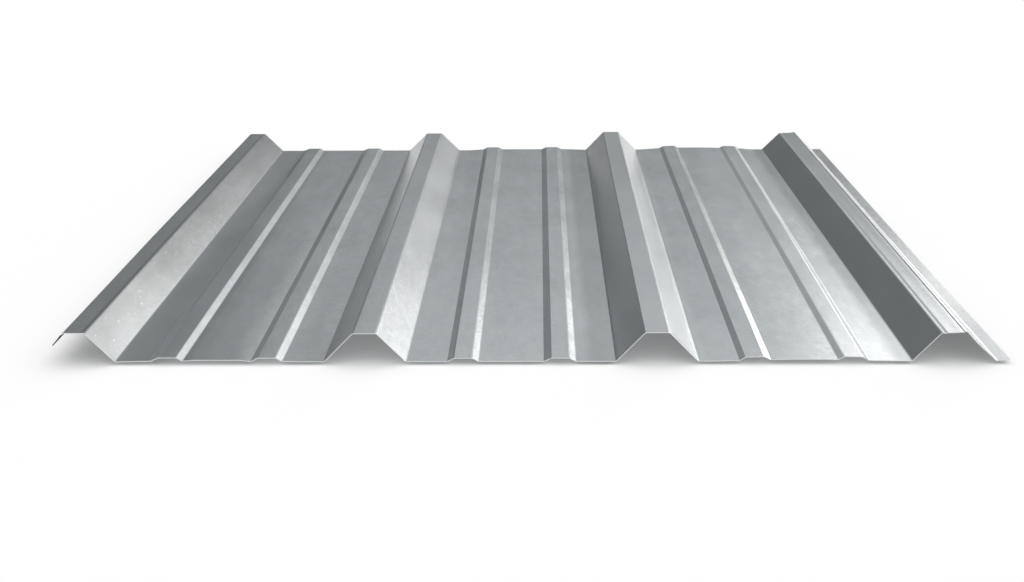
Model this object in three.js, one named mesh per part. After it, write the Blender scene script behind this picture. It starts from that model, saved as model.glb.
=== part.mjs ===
// Ribbed metal sheet for roofs and walls, rolled from one flat strip of zinc-aluminium coated steel.
// Four high ribs carry the load. Two low stiffeners keep each pan between them flat. The first rib
// has only a short leg on its free side, so that it laps over the neighbour's last rib. The last rib
// has its full slope and a flat leg that bears on the purlin under that lap.
//
// Millimetres, +Z up. The ribs run along Y and the lap leg is at -X. The pans lie on Z = 0, and the
// origin is the middle of the sheet's plan.

import * as THREE from 'three';

// Strip
const stripThickness = 0.8;
const sheetLength = 1219.2;

// High ribs, with their widths taken where the flats would meet
const ribCount = 4;
const ribPitch = 304.8;
const ribHeight = 31.75; // from the underside of a pan to the top of a rib
const ribTopWidth = 25;
const ribBaseWidth = 85;

// Low stiffeners, evenly spaced between one high rib and the next
const stiffenersPerPan = 2;
const stiffenerPitch = ribPitch / (stiffenersPerPan + 1);
const stiffenerHeight = 3.5; // above the pan
const stiffenerTopWidth = 19;
const stiffenerBaseWidth = 32;

// Side laps
const lapLegLength = 16;
const lapLegDrop = 52; // degrees below level
const bearingLegWidth = 15;

// Bends, by the radius inside the bend
const bendRadius = 3;
const underlapBendRadius = 5; // top of the last rib, rounder so that the next sheet drops over it
const bendFacets = 4;

// The section's centre line is a chain of corners, each with the radius inside its bend.
const panLevel = stripThickness / 2;
const ribLevel = ribHeight - stripThickness / 2;
const stiffenerLevel = panLevel + stiffenerHeight;

function corner(x, y, radius = bendRadius) {
  return { point: new THREE.Vector2(x, y), radius };
}

function polar(from, distance, angle) {
  const step = new THREE.Vector2(Math.cos(angle), Math.sin(angle)).multiplyScalar(distance);
  return from.clone().add(step);
}

function wrapAngle(angle) {
  return Math.atan2(Math.sin(angle), Math.cos(angle));
}

function ribMiddle(index) {
  return (index - (ribCount - 1) / 2) * ribPitch;
}

function ribTop(middle, radius) {
  return [
    corner(middle - ribTopWidth / 2, ribLevel, radius),
    corner(middle + ribTopWidth / 2, ribLevel, radius),
  ];
}

function stiffener(middle) {
  return [
    corner(middle - stiffenerBaseWidth / 2, panLevel),
    corner(middle - stiffenerTopWidth / 2, stiffenerLevel),
    corner(middle + stiffenerTopWidth / 2, stiffenerLevel),
    corner(middle + stiffenerBaseWidth / 2, panLevel),
  ];
}

// The pan on the right of a rib, from that rib's foot to the next rib's foot.
function pan(leftRib) {
  const corners = [corner(leftRib + ribBaseWidth / 2, panLevel)];
  for (let i = 1; i <= stiffenersPerPan; i += 1) {
    corners.push(...stiffener(leftRib + i * stiffenerPitch));
  }
  corners.push(corner(leftRib + ribPitch - ribBaseWidth / 2, panLevel));
  return corners;
}

// The end of the short leg that hangs from the first rib's free edge.
function lapLegEnd() {
  const angle = THREE.MathUtils.degToRad(lapLegDrop);
  return corner(
    ribMiddle(0) - ribTopWidth / 2 - lapLegLength * Math.cos(angle),
    ribLevel - lapLegLength * Math.sin(angle),
  );
}

// The last rib's foot and the flat leg that bears on the purlin beyond it.
function bearingLeg() {
  const foot = ribMiddle(ribCount - 1) + ribBaseWidth / 2;
  return [corner(foot, panLevel), corner(foot + bearingLegWidth, panLevel)];
}

function sectionCorners() {
  const corners = [lapLegEnd()];
  for (let i = 0; i < ribCount; i += 1) {
    const isLast = i === ribCount - 1;
    corners.push(...ribTop(ribMiddle(i), isLast ? underlapBendRadius : bendRadius));
    if (!isLast) corners.push(...pan(ribMiddle(i)));
  }
  corners.push(...bearingLeg());
  return corners;
}

// One face of the strip, on the left of the corners as they are walked: straight stretches joined
// by an arc at each bend. The arc is tight where the bend closes on this face and wide where it opens.
function stripFace(corners) {
  const half = stripThickness / 2;
  const headings = corners.slice(1).map(
    (next, i) => next.point.clone().sub(corners[i].point).angle(),
  );
  const endPoint = (index, heading) => polar(corners[index].point, half, heading + Math.PI / 2);

  const points = [endPoint(0, headings[0])];
  for (let i = 1; i < headings.length; i += 1) {
    const before = headings[i - 1];
    const turn = wrapAngle(headings[i] - before);
    const side = Math.sign(turn); // 1 where the strip turns to the left
    const lineRadius = corners[i].radius + half;
    const toCentre = before + turn / 2 + (side * Math.PI) / 2;
    const centre = polar(corners[i].point, lineRadius / Math.cos(turn / 2), toCentre);
    const firstSpoke = before - (side * Math.PI) / 2;
    for (let step = 0; step <= bendFacets; step += 1) {
      points.push(polar(centre, lineRadius - side * half, firstSpoke + (turn * step) / bendFacets));
    }
  }
  points.push(endPoint(corners.length - 1, headings.at(-1)));
  return points;
}

// The section drawn in X and Y, then drawn out along the sheet's length.
function sheetGeometry() {
  const corners = sectionCorners();
  const topFace = stripFace(corners);
  const underside = stripFace([...corners].reverse());
  const section = new THREE.Shape([...topFace, ...underside]);
  const geometry = new THREE.ExtrudeGeometry(section, { depth: sheetLength, bevelEnabled: false });

  geometry.computeBoundingBox();
  const middle = geometry.boundingBox.getCenter(new THREE.Vector3());
  geometry.translate(-middle.x, 0, -middle.z);
  return geometry;
}

const coatedSteel = new THREE.MeshStandardMaterial({
  color: 0xb4b8ba,
  roughness: 0.38,
  metalness: 1,
});

const ribbedSheet = new THREE.Mesh(sheetGeometry(), coatedSteel);
ribbedSheet.name = 'ribbed_sheet';
ribbedSheet.rotation.x = Math.PI / 2; // the section stands up and the length lies along Y

const product = new THREE.Group();
product.add(ribbedSheet);

export default product;
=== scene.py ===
import math

import bmesh
import bpy
from mathutils import Matrix, Vector, noise


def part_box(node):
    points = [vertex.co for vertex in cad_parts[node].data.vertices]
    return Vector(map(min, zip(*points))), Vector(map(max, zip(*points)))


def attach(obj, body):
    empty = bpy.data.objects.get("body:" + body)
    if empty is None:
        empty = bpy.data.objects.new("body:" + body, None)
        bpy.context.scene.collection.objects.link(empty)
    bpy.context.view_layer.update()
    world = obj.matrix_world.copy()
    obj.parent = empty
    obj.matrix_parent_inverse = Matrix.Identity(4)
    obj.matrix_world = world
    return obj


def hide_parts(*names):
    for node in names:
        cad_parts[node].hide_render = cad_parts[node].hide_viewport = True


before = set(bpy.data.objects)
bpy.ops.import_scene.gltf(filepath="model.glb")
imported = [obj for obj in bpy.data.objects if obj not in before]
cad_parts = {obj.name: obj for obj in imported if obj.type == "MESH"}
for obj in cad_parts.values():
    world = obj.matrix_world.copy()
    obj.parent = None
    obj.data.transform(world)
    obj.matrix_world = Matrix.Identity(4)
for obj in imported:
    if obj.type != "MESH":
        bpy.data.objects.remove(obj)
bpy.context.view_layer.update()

scene = bpy.context.scene
scene.view_settings.view_transform = "Standard"
print("frame loaded")


# Camera: in front of the cut end, a little above the sheet, looking along the ribs.
cameraView = {
    "place": (0.01127, -2.30187, 0.53175),
    "lens": 59.93,
    "sensorWidth": 36,
    "tiltDown": 15.06,
    "turnLeft": 0.93,
    "roll": -0.36,
    "farthest": 200,
}


def turned(degrees, axis):
    return Matrix.Rotation(math.radians(degrees), 4, axis)


def addCamera(view):
    camera = bpy.data.objects.new("camera", bpy.data.cameras.new("camera"))
    camera.data.lens = view["lens"]
    camera.data.sensor_fit = "HORIZONTAL"
    camera.data.sensor_width = view["sensorWidth"]
    camera.data.clip_end = view["farthest"]
    aim = (turned(view["turnLeft"], "Z") @ turned(90 - view["tiltDown"], "X")
           @ turned(view["roll"], "Z"))
    camera.matrix_world = Matrix.Translation(view["place"]) @ aim
    scene.collection.objects.link(camera)
    scene.camera = camera


addCamera(cameraView)
print("camera placed")


# Node helpers. A Wire is one output of a node, and sums written with wires add the Math nodes.
class Wire:
    def __init__(self, graph, node, output=0):
        self.graph = graph
        self.node = node
        self.output = output

    def __getitem__(self, output):
        return Wire(self.graph, self.node, output)

    def __add__(self, other):
        return self.graph.maths("ADD", self, other)

    def __radd__(self, other):
        return self.graph.maths("ADD", other, self)

    def __sub__(self, other):
        return self.graph.maths("SUBTRACT", self, other)

    def __rsub__(self, other):
        return self.graph.maths("SUBTRACT", other, self)

    def __mul__(self, other):
        return self.graph.maths("MULTIPLY", self, other)

    def __rmul__(self, other):
        return self.graph.maths("MULTIPLY", other, self)


class Graph:
    def __init__(self, owner):
        owner.use_nodes = True
        self.tree = owner.node_tree
        self.tree.nodes.clear()

    def add(self, kind, settings=None, values=None):
        node = self.tree.nodes.new(kind)
        for name, setting in (settings or {}).items():
            setattr(node, name, setting)
        for name, value in (values or {}).items():
            if isinstance(value, Wire):
                self.tree.links.new(value.node.outputs[value.output], node.inputs[name])
            else:
                node.inputs[name].default_value = value
        return Wire(self, node)

    def maths(self, operation, *values):
        return self.add("ShaderNodeMath", {"operation": operation}, dict(enumerate(values)))

    def vectors(self, operation, *values):
        return self.add("ShaderNodeVectorMath", {"operation": operation}, dict(enumerate(values)))

    def scaled(self, vector, amount):
        return self.add("ShaderNodeVectorMath", {"operation": "SCALE"},
                        {0: vector, "Scale": amount})

    def mixed(self, share, first, second):
        return self.add("ShaderNodeMix", {"data_type": "VECTOR"},
                        {0: share, 4: first, 5: second})[1]

    # 0 up to start and 1 from end on, with a soft step between them
    def rise(self, value, start, end):
        return self.add("ShaderNodeMapRange", {"interpolation_type": "SMOOTHSTEP"},
                        {"Value": value, "From Min": start, "From Max": end})


# The sheet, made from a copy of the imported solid. Sizes are in metres and angles in degrees.
ribbedSheet = {
    "node": "ribbed_sheet",
    "mergeGap": 1e-6,
    "flatAngle": 0.5,  # triangles that meet flatter than this are joined into one face
    "facing": 0.5,  # a face looks up, or along the sheet, where this much of its normal does
    "lengthRows": 44,
    "endRows": (0.004, 0.012, 0.022, 0.036),  # closer rows beside the two cut ends
    "wideFlat": 0.02,  # flats wider than this are cut into strips, so that they can bow
    "strips": 6,
    "narrowFace": 0.008,  # the bends and the stiffener slopes, which get painted highlight or shade
    "sharpAngle": 35,  # edges sharper than this stay crisp
    "evenWeight": 90,  # how far the large faces rule the shading beside a bend
    "waveSize": 0.14,
    "waveHeight": 0.0002,
    # the last rib's sunk top and full right shoulder: distance from the rib's middle, and lift
    "lastRib": 0.439783,
    "lastRibCuts": (-0.0098, -0.0080, 0, 0.0093),
    "lastRibLift": (
        (-0.0144, 0), (-0.0135, 0.0001), (-0.0125, -0.0001), (-0.0100, -0.0014),
        (-0.0098, -0.0014), (-0.0080, -0.0006), (0, -0.0005), (0.0093, 0), (0.0100, 0.0007),
        (0.0112, 0.0008), (0.0123, 0.0009), (0.0133, 0.0008), (0.0142, 0.0006), (0.0185, 0),
    ),
    # how far each rib and stiffener lies off its true place: its middle and half width, then the
    # shift (x, z) at the front end and at the back. A downward shift only sinks the ribs.
    "lay": (
        (-0.4746, 0.044, (0.0007, 0.0003), (0.0007, -0.0014)),
        (-0.3730, 0.017, (-0.0036, 0.0010), (-0.0029, 0.0002)),
        (-0.3222, 0.030, (-0.0023, 0.0018), (-0.0024, 0.0001)),
        (-0.2714, 0.017, (-0.0011, 0.0005), (-0.0020, 0)),
        (-0.1698, 0.044, (0, -0.0007), (0.0017, -0.0014)),
        (-0.0682, 0.017, (0.0005, 0), (0.0011, 0.0015)),
        (0.0334, 0.017, (0.0002, 0), (0.0005, 0.0015)),
        (0.1350, 0.044, (-0.0008, 0), (0.0009, 0.0002)),
        (0.2366, 0.017, (-0.0012, 0), (-0.0007, 0.0021)),
        (0.3382, 0.017, (-0.0008, 0), (0.0012, 0.0015)),
        (0.4398, 0.044, (0.0008, 0.0001), (-0.0004, -0.0018)),
    ),
    # gentle pushes, as a handled sheet has: middle (x, y), reach (x, y), move (x, y, z)
    "pushes": (
        ((0.287, -0.05), (0.115, 1.3), (0, 0, 0.0030)),
        ((-0.494, -0.61), (0.045, 0.5), (0.0022, 0, 0)),
        ((-0.499, -0.61), (0.010, 0.6), (-0.0014, 0, -0.0009)),
        ((0.484, -0.61), (0.020, 0.5), (0.0019, 0, 0)),
        ((0.499, -0.61), (0.017, 0.35), (0, 0, 0.0017)),
        ((-0.3890, 0.1), (0.0045, 1.6), (-0.0016, 0, 0)),
        ((-0.2874, 0.61), (0.0045, 1.1), (-0.0016, 0, 0)),
        ((0.0168, 0), (0.0045, 2.5), (-0.0012, 0, 0)),
        ((0.0244, 0), (0.0040, 2.5), (0.0006, 0, 0)),
    ),
    # painted highlight and shade on the bends and stiffener slopes: those that look right, those
    # that look left, and then the middle, half width and brightness of each that differs
    "rightBend": 1,
    "leftBend": 0.16,
    "oddBends": (
        (-0.4621, 0.0020, 0.1), (-0.4321, 0.0020, 0.2), (-0.3857, 0.0015, -1.1),
        (-0.3820, 0.0012, 0.6), (-0.3602, 0.0050, 0.7), (-0.2587, 0.0050, 1.25),
        (-0.1273, 0.0020, 0.5), (0.0206, 0.0015, 1.1), (0.0461, 0.0050, 1.2),
        (0.1475, 0.0020, 1.3), (0.1775, 0.0020, 0.2), (0.2239, 0.0015, 1.1),
        (0.2493, 0.0050, 1.5), (0.3509, 0.0050, 0.75), (0.4286, 0.0013, -1.0),
        (0.4541, 0.0048, 0),
    ),
    "lapLeg": -0.4886,  # the leg that laps over the next sheet lies left of this
    "stainFacing": -0.3,  # and its inner face looks down by more than this
}


def cutAcross(bm, place, direction, gap):
    geom = bm.verts[:] + bm.edges[:] + bm.faces[:]
    bmesh.ops.bisect_plane(bm, geom=geom, dist=gap, plane_co=place, plane_no=direction)


# The height at x of a line through the points, which runs on level past its ends.
def liftAt(points, x):
    for (x0, z0), (x1, z1) in zip(points, points[1:]):
        if x0 <= x <= x1:
            return z0 + (z1 - z0) * (x - x0) / (x1 - x0)
    return points[0][1] if x < points[0][0] else points[-1][1]


# The lay's shifts along the sheet's width, for x or for z, at one share of the way to the back.
def layAt(lay, axis, share, x):
    points = []
    for middle, half, front, back in lay:
        shift = front[axis] + (back[axis] - front[axis]) * share
        points += [(middle - half, shift), (middle + half, shift)]
    return liftAt(points, x)


# A push is strongest at its middle and fades to nothing at its reach.
def pushed(place, push):
    middle, reach, move = push
    distance = ((place.x - middle[0]) / reach[0]) ** 2 + ((place.y - middle[1]) / reach[1]) ** 2
    return Vector(move) * max(0, 1 - distance) ** 2


# Each face still runs the whole length here, so its area gives its width. The bends and stiffener
# slopes get their painted highlight or shade, and the wide flats come back as the places to cut
# them into strips.
def markBends(bm, sheet, length):
    bendLight = bm.faces.layers.float.new("bendLight")
    stripCuts = set()
    for face in bm.faces:
        width = face.calc_area() / length
        left, right = min(v.co.x for v in face.verts), max(v.co.x for v in face.verts)
        if abs(face.normal.y) < sheet["facing"] and width < sheet["narrowFace"]:
            face[bendLight] = sheet["rightBend"] if face.normal.x > 0 else sheet["leftBend"]
            for middle, half, bright in sheet["oddBends"]:
                if abs((left + right) / 2 - middle) < half:
                    face[bendLight] = bright
        elif face.normal.z > sheet["facing"] and width > sheet["wideFlat"]:
            for step in range(1, sheet["strips"]):
                stripCuts.add(left + (right - left) * step / sheet["strips"])
    return stripCuts


# Painted shade: the lap leg's inner face and its sheared ends are marked to be painted near black.
def markLapShade(bm, sheet):
    lapShade = bm.faces.layers.float.new("lapShade")
    for face in bm.faces:
        inLap = face.calc_center_median().x < sheet["lapLeg"]
        inner = face.normal.z < sheet["stainFacing"]
        atEnd = abs(face.normal.y) > sheet["facing"]
        face[lapShade] = 1 if inLap and (inner or atEnd) else 0


# The shifts, pushes and waves of a sheet that has been rolled and handled.
def bendByHand(bm, sheet, low, high):
    for vert in bm.verts:
        place = vert.co.copy()
        if place.z > high.z / 2:  # the rib tops and not the pans
            vert.co.z += liftAt(sheet["lastRibLift"], place.x - sheet["lastRib"])
        share = (place.y - low.y) / (high.y - low.y)
        sink = layAt(sheet["lay"], 1, share, place.x)
        vert.co.x += layAt(sheet["lay"], 0, share, place.x)
        vert.co.z += sink if sink > 0 else sink * place.z / high.z
        for push in sheet["pushes"]:
            vert.co += pushed(place, push)
        wave = Vector((place.x, place.y, 0)) / sheet["waveSize"]
        vert.co.z += noise.noise(wave) * sheet["waveHeight"]


def buildSheet(sheet):
    bm = bmesh.new()
    bm.from_mesh(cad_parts[sheet["node"]].data)
    bmesh.ops.remove_doubles(bm, verts=bm.verts, dist=sheet["mergeGap"])
    bmesh.ops.dissolve_limit(bm, angle_limit=math.radians(sheet["flatAngle"]), verts=bm.verts,
                             edges=bm.edges)
    low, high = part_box(sheet["node"])
    length = high.y - low.y

    stripCuts = markBends(bm, sheet, length)
    stripCuts |= {sheet["lastRib"] + x for x in sheet["lastRibCuts"]} | {sheet["lapLeg"]}
    for x in sorted(stripCuts):
        cutAcross(bm, (x, 0, 0), (1, 0, 0), sheet["mergeGap"])
    rows = [low.y + length * row / sheet["lengthRows"] for row in range(1, sheet["lengthRows"])]
    rows += [end for gap in sheet["endRows"] for end in (low.y + gap, high.y - gap)]
    for y in rows:
        cutAcross(bm, (0, y, 0), (0, 1, 0), sheet["mergeGap"])
    markLapShade(bm, sheet)
    bendByHand(bm, sheet, low, high)

    bm.normal_update()
    for face in bm.faces:
        face.smooth = True
    for edge in bm.edges:
        edge.smooth = edge.calc_face_angle(math.pi) < math.radians(sheet["sharpAngle"])
    mesh = bpy.data.meshes.new("sheet")
    bm.to_mesh(mesh)
    bm.free()
    piece = bpy.data.objects.new("sheet", mesh)
    scene.collection.objects.link(piece)
    even = piece.modifiers.new("evenNormals", "WEIGHTED_NORMAL")
    even.weight = sheet["evenWeight"]
    even.keep_sharp = True
    return piece


# Zinc-aluminium coating: a satin metal of small crystals, a little bluish, with painted highlight
# and shade on the bends and stiffeners. Sizes are in metres and tilts in radians.
coatedSteel = {
    "colour": (0.636, 0.664, 0.674),
    "roughness": 0.243,
    "crystalSize": 0.003,
    "crystalTilt": 0.016,
    "crystalTone": 0.012,
    # painted glints: bright specks in the colour, brighter in the lap band
    "speck": {"size": 0.0026, "stretch": (1, 0.35, 1), "edge": (0.65, 0.73), "tone": 0.08,
              "oldTone": 0.3},
    "ripple": {"size": 0.011, "tilt": 0.026, "stretch": (1, 0.3, 1)},
    "wave": {"size": 0.060, "tilt": 0.020, "stretch": (1, 0.4, 1)},
    # the slopes and rib tops are drawn tighter, so they keep this share of the pans' waves
    "slopeCalm": 0.5,
    "topCalm": 0.25,
    "levelFacing": (0.75, 0.95),  # how far up a face looks, from a slope to a pan
    "topHeight": (0.026, 0.030),  # how high it lies, from a slope to a rib's top
    "cloud": {"size": 0.050, "tone": 0.06, "roughness": 0.06, "stretch": (1, 0.3, 1)},
    "streak": {"size": 0.005, "stretch": (1, 0.01, 1), "tone": 0.018},
    "hueSize": 0.030,
    "cool": (0.990, 1.0, 1.006),
    "warm": (1.010, 1.0, 0.994),
    "rolledTone": 0.36,
    "rolledRoughness": -0.02,
    # bands along the sheet of painted shade and, where the amount is below zero, painted
    # highlight:
    # where each starts, is full, fades and ends, and how much darker it is. The lap band is
    # painted shade on the lap rib's slope, mottled and with more painted glints.
    # painted shade on the lap rib's slope, with its own mottle
    "oldBand": (-0.468, -0.461, -0.434, -0.428, 0.36),
    "oldMottle": 1.0,
    "bands": (
        (-0.468, -0.461, -0.460, -0.430, 0.16),
        (-0.357, -0.350, -0.318, -0.300, -0.14),
        (-0.2835, -0.2815, -0.2615, -0.2595, -0.12),
        (-0.158, -0.156, -0.129, -0.127, -0.10),
        (0.056, 0.070, 0.092, 0.095, 0.22),
        (0.150, 0.154, 0.173, 0.177, 0.08),
        (0.182, 0.190, 0.245, 0.247, 0.05),
        (0.255, 0.290, 0.370, 0.385, -0.08),
        (0.376, 0.390, 0.3965, 0.3985, 0.27),
        (0.4262, 0.4290, 0.4450, 0.4490, 0.20),
        (0.4495, 0.4530, 0.6000, 0.6100, 0.25),
    ),
    # painted shade: near black on the lap leg's inner face and sheared ends
    "stain": {"colour": (0.03, 0.031, 0.033), "roughness": 0.75},
    "cutColour": (0.75, 0.76, 0.77),
    "cutRoughness": 0.42,
    "cutFacing": 0.5,  # a face that looks along the sheet more than this is a sheared end
}


def coatedSteelMaterial(finish):
    material = bpy.data.materials.new("coatedSteel")
    graph = Graph(material)
    noiseMiddle = 0.5
    place = graph.add("ShaderNodeTexCoord")["Object"]
    facing = graph.add("ShaderNodeNewGeometry")["Normal"]
    placeAt = graph.add("ShaderNodeSeparateXYZ", None, {0: place})
    facingAt = graph.add("ShaderNodeSeparateXYZ", None, {0: facing})
    # painted highlight and shade on the bends and stiffener slopes
    bendLight = graph.add("ShaderNodeAttribute", {"attribute_name": "bendLight"})["Fac"]
    # painted shade on the lap leg
    lapShade = graph.add("ShaderNodeAttribute", {"attribute_name": "lapShade"})["Fac"]

    def noiseOf(size, stretch=(1, 1, 1)):
        scaled = graph.vectors("MULTIPLY", place, stretch)
        return graph.add("ShaderNodeTexNoise", None, {"Vector": scaled, "Scale": 1 / size})

    def tilted(colour, amount):
        return graph.scaled(graph.vectors("SUBTRACT", colour, (noiseMiddle,) * 3), amount)

    crystal = graph.add("ShaderNodeTexVoronoi", None,
                        {"Vector": place, "Scale": 1 / finish["crystalSize"]})
    chance = graph.add("ShaderNodeSeparateXYZ", None, {0: crystal["Color"]})
    # painted glints as bright specks in the colour
    glintNoise = noiseOf(finish["speck"]["size"], finish["speck"]["stretch"])["Fac"]
    speck = graph.rise(glintNoise, *finish["speck"]["edge"])
    cloud = noiseOf(finish["cloud"]["size"], finish["cloud"]["stretch"])["Fac"] - noiseMiddle
    streak = noiseOf(finish["streak"]["size"], finish["streak"]["stretch"])["Fac"] - noiseMiddle

    # a band across the sheet of painted shade, turned to painted highlight where the amount is
    # below zero
    def paintedBandOf(start, full, fading, end, darker):
        across = placeAt["X"]
        return graph.rise(across, start, full) * (1 - graph.rise(across, fading, end)) * darker

    # painted shade on the lap rib's slope
    oldBand = paintedBandOf(*finish["oldBand"])
    glintTone = speck * (oldBand * finish["speck"]["oldTone"] + finish["speck"]["tone"])

    # random crystal, cloud and streak tone, with painted glints, painted highlight and shade on
    # the bends, and painted shade in the bands
    tone = (1 + (chance["X"] - noiseMiddle) * finish["crystalTone"]
            + cloud * finish["cloud"]["tone"] + glintTone + streak * finish["streak"]["tone"]
            + bendLight * finish["rolledTone"] - oldBand * (1 + cloud * finish["oldMottle"]))
    # painted shade and painted highlight in bands along the sheet
    for band in finish["bands"]:
        tone = tone - paintedBandOf(*band)
    hue = graph.mixed(noiseOf(finish["hueSize"])["Fac"], finish["cool"], finish["warm"])
    steel = graph.scaled(graph.vectors("MULTIPLY", hue, finish["colour"]), tone)

    level = graph.rise(facingAt["Z"], *finish["levelFacing"])
    top = graph.rise(placeAt["Z"], *finish["topHeight"])
    calm = ((finish["slopeCalm"] + level * (1 - finish["slopeCalm"]))
            * (1 - top * (1 - finish["topCalm"])))
    tilt = tilted(crystal["Color"], finish["crystalTilt"])
    for bump in (finish["ripple"], finish["wave"]):
        wavy = tilted(noiseOf(bump["size"], bump["stretch"])["Color"], calm * bump["tilt"])
        tilt = graph.vectors("ADD", tilt, wavy)
    satin = (finish["roughness"] + cloud * finish["cloud"]["roughness"]
             + bendLight * finish["rolledRoughness"])

    # The sheared ends are bare.
    endwise = graph.maths("ABSOLUTE", facingAt["Y"])
    cut = graph.maths("GREATER_THAN", endwise, finish["cutFacing"])
    bare = graph.mixed(cut, steel, finish["cutColour"])
    bareRoughness = satin + cut * (finish["cutRoughness"] - satin)
    metal = graph.add("ShaderNodeBsdfPrincipled", None, {
        "Base Color": graph.mixed(lapShade, bare, finish["stain"]["colour"]),
        "Metallic": 1,
        "Roughness": bareRoughness + lapShade * (finish["stain"]["roughness"] - bareRoughness),
        "Normal": graph.vectors("NORMALIZE", graph.vectors("ADD", facing, tilt)),
    })
    graph.add("ShaderNodeOutputMaterial", None, {"Surface": metal})
    return material


sheetPiece = buildSheet(ribbedSheet)
sheetPiece.data.materials.append(coatedSteelMaterial(coatedSteel))
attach(sheetPiece, "root")
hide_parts("ribbed_sheet")
print("sheet made:", len(sheetPiece.data.polygons), "faces")


# Floor: plain and pale, far wider than any view of the sheet. A share of plain white is mixed in
# for the camera and for reflections, which keeps the shadow on it pale.
floorPlane = {
    "size": 400,
    "drop": 0.0032,
    "colour": (0.97, 0.97, 0.97, 1),
    "whiteShare": 0.14,
}


def addFloor(plane):
    bm = bmesh.new()
    bmesh.ops.create_grid(bm, x_segments=1, y_segments=1, size=plane["size"] / 2)
    bmesh.ops.translate(bm, verts=bm.verts, vec=(0, 0, -plane["drop"]))
    mesh = bpy.data.meshes.new("floor")
    bm.to_mesh(mesh)
    bm.free()
    floor = bpy.data.objects.new("floor", mesh)
    scene.collection.objects.link(floor)
    material = bpy.data.materials.new("paleFloor")
    graph = Graph(material)
    rays = graph.add("ShaderNodeLightPath")
    seen = graph.maths("MAXIMUM", rays["Is Camera Ray"], rays["Is Glossy Ray"])
    paint = graph.add("ShaderNodeBsdfDiffuse", None, {"Color": plane["colour"]})
    white = graph.add("ShaderNodeEmission", None, {"Color": (1, 1, 1, 1), "Strength": 1})
    share = seen * plane["whiteShare"]
    mixed = graph.add("ShaderNodeMixShader", None, {0: share, 1: paint, 2: white})
    graph.add("ShaderNodeOutputMaterial", None, {"Surface": mixed})
    mesh.materials.append(material)


addFloor(floorPlane)


# Light: a white ceiling, greyer straight overhead, over grey walls, with a black cloth hung behind
# the sheet on the left, a lighter panel in the middle and a tall strip light on the right. Angles
# are in degrees, azimuth from +Y towards +X, and each edge is soft from its first angle to its
# second. An edge with a lean moves sideways by that much for each degree above leanFrom.
studioLight = {
    "leanFrom": 10,
    "room": {
        "colour": (1, 1, 1),
        "walls": 0.5,
        "edge": (12, 45),
        "ceiling": 1.34,
        "overheadEdge": (55, 78),
        "overhead": 0.78,
    },
    "cloth": {
        "colour": (0.955, 1.0, 1.03),
        "strength": 0.143,
        "left": (-66, -34),
        "right": (15.2, 16.7),
        "lean": 0.5,
        "top": (4, 62),
        "fold": (-14, -6.5),
        "foldStrength": 0.11,
    },
    "panel": {
        "colour": (0.975, 1.0, 1.012),
        "strength": 0.72,
        "left": (-13, -2.8),
        "foot": (5.2, 24.5),
    },
    "strip": {
        "colour": (1.02, 1.0, 0.985),
        "strength": 2.2,
        "left": (15, 16.1),
        "leftLean": 0.53,
        "right": (22.6, 31),
        "rightLean": 1.19,
        "top": (14, 41),
    },
}


def addStudioLight(light):
    world = bpy.data.worlds.new("studioLight")
    scene.world = world
    graph = Graph(world)
    direction = graph.add("ShaderNodeTexCoord")["Generated"]
    split = graph.add("ShaderNodeSeparateXYZ", None, {"Vector": direction})
    azimuth = graph.maths("ARCTAN2", split["X"], split["Y"]) * math.degrees(1)
    elevation = graph.maths("ARCSINE", split["Z"]) * math.degrees(1)
    height = elevation - light["leanFrom"]

    def rise(angle, edge):
        return graph.rise(angle, *edge)

    def fall(angle, edge):
        return 1 - graph.rise(angle, *edge)

    room, cloth, panel, strip = (light[name] for name in ("room", "cloth", "panel", "strip"))
    clothMask = (rise(azimuth, cloth["left"])
                 * fall(azimuth + height * cloth["lean"], cloth["right"])
                 * fall(elevation, cloth["top"]))
    panelMask = clothMask * rise(azimuth, panel["left"]) * rise(elevation, panel["foot"])
    stripMask = (rise(azimuth + height * strip["leftLean"], strip["left"])
                 * fall(azimuth + height * strip["rightLean"], strip["right"])
                 * fall(elevation, strip["top"]))
    roomTone = (room["walls"]
                + rise(elevation, room["edge"]) * (room["ceiling"] - room["walls"])
                + rise(elevation, room["overheadEdge"]) * (room["overhead"] - room["ceiling"]))
    clothTone = (cloth["strength"]
                 + rise(azimuth, cloth["fold"]) * (cloth["foldStrength"] - cloth["strength"]))

    colour = (0, 0, 0)
    for hue, amount in ((room["colour"], (1 - clothMask) * roomTone),
                        (cloth["colour"], clothMask * clothTone),
                        (panel["colour"], panelMask * panel["strength"]),
                        (strip["colour"], stripMask * strip["strength"])):
        colour = graph.vectors("ADD", colour, graph.scaled(hue, amount))
    back = graph.add("ShaderNodeBackground", None, {"Color": colour, "Strength": 1})
    graph.add("ShaderNodeOutputWorld", None, {"Surface": back})


addStudioLight(studioLight)
print("floor and light set")
